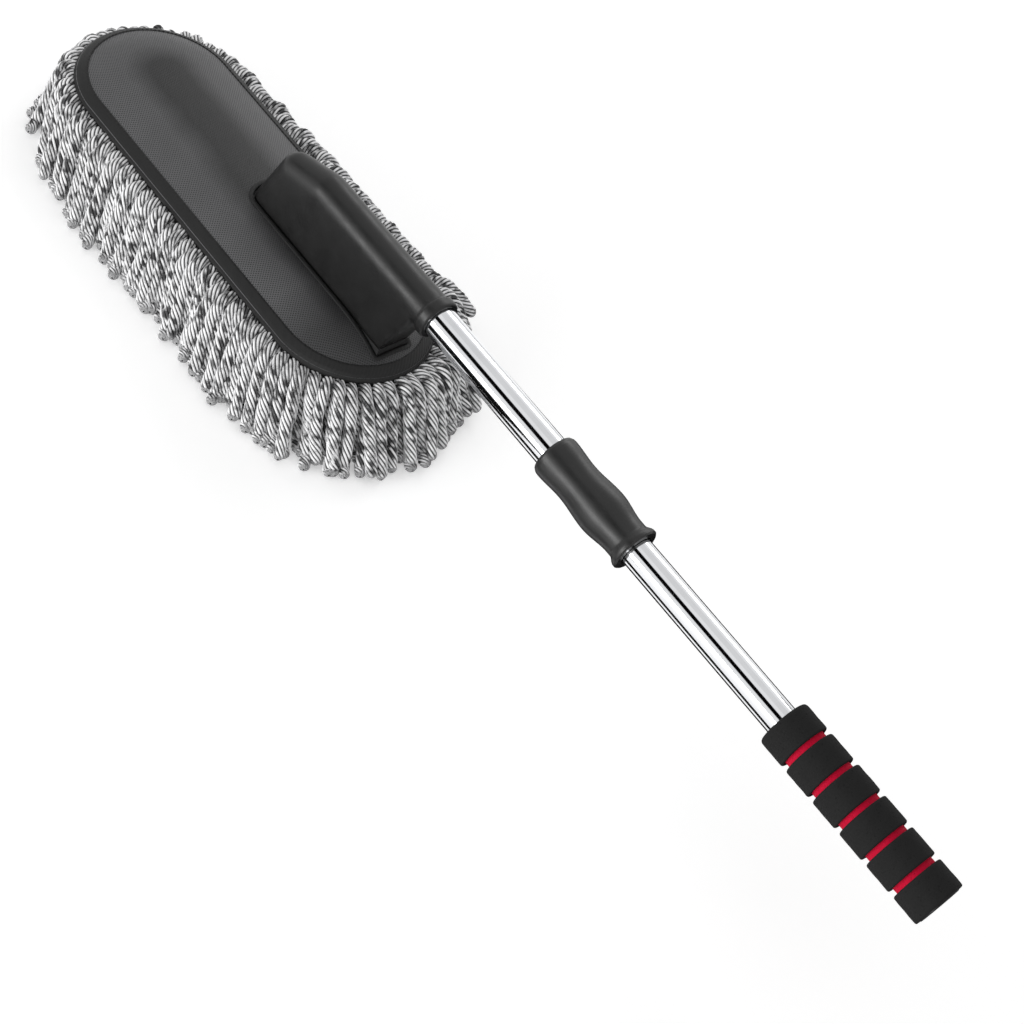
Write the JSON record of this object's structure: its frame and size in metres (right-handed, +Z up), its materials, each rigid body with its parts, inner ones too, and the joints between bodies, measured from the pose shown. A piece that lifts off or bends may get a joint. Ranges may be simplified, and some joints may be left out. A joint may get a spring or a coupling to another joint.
{
  "type": "telescopic yarn duster",
  "caption": "Long-reach duster: an oval noodle-yarn head under a padded fabric cover, on a telescopic steel pole with a twist-lock collar and a ribbed foam grip.",
  "frame": {"origin": "centre of the head's oval, on the yarn's flat underside (the wiping face)", "axes": "+Z up from the wiping face, +X along the head's long side and the pole, from the head towards the grip, +Y across the head"},
  "size_m": [0.8242, 0.182, 0.1217],
  "materials": {
    "board_plastic": "satin",
    "spine_plastic": "satin",
    "screw_steel": "satin",
    "plug_plastic": "satin",
    "panel_fabric": "matte",
    "binding_fabric": "matte",
    "pad_foam": "matte",
    "backing_fabric": "matte",
    "noodle_yarn": "matte",
    "tube_chrome": "polished",
    "collet_plastic": "satin",
    "collar_plastic": "satin",
    "bearing_plastic": "satin",
    "wiper_rubber": "matte",
    "grip_red": "matte",
    "grip_black": "matte"
  },
  "bodies": {
    "head": {"mop_board": "board_plastic", "socket_spine": "spine_plastic", "spine_screws": "screw_steel", "tube_screw": "screw_steel", "tube_plug": "plug_plastic", "cover_top": "panel_fabric", "slot_binding": "binding_fabric", "cover_piping": "binding_fabric", "foam_pad": "pad_foam", "cover_backing": "backing_fabric", "yarn_pile": "noodle_yarn", "upper_tube": "tube_chrome", "lock_collet": "collet_plastic"},
    "wedge": {"lock_wedge": "bearing_plastic"},
    "collar": {"twist_collar": "collar_plastic", "collar_end_ring": "collar_plastic", "collar_lip_ring": "bearing_plastic", "wiper_ring": "wiper_rubber"},
    "bush": {"guide_bush": "bearing_plastic"},
    "lower_pole": {"lower_tube": "tube_chrome", "grip_core": "grip_red", "grip_segments": "grip_black", "end_cap": "plug_plastic"}
  },
  "joints": [
    {"name": "pole_slide", "type": "slide", "parent": "head", "child": "bush", "axis": [1, 0, 0], "range_m": [-0.12, 0.0595]},
    {"name": "pole_spin", "type": "hinge", "parent": "bush", "child": "lower_pole", "pos_m": [0.35, 0, 0.105], "axis": [1, 0, 0], "continuous": true},
    {"name": "lock_travel", "type": "slide", "parent": "head", "child": "wedge", "axis": [1, 0, 0], "range_m": [0, 0.0025]},
    {"name": "collar_twist", "type": "hinge", "parent": "wedge", "child": "collar", "pos_m": [0.33, 0, 0.105], "axis": [1, 0, 0], "range_deg": [0, 94]}
  ],
  "couplings": [
    {"joint": "lock_travel", "follows": "collar_twist", "m_per_rad": 0.0014629}
  ]
}
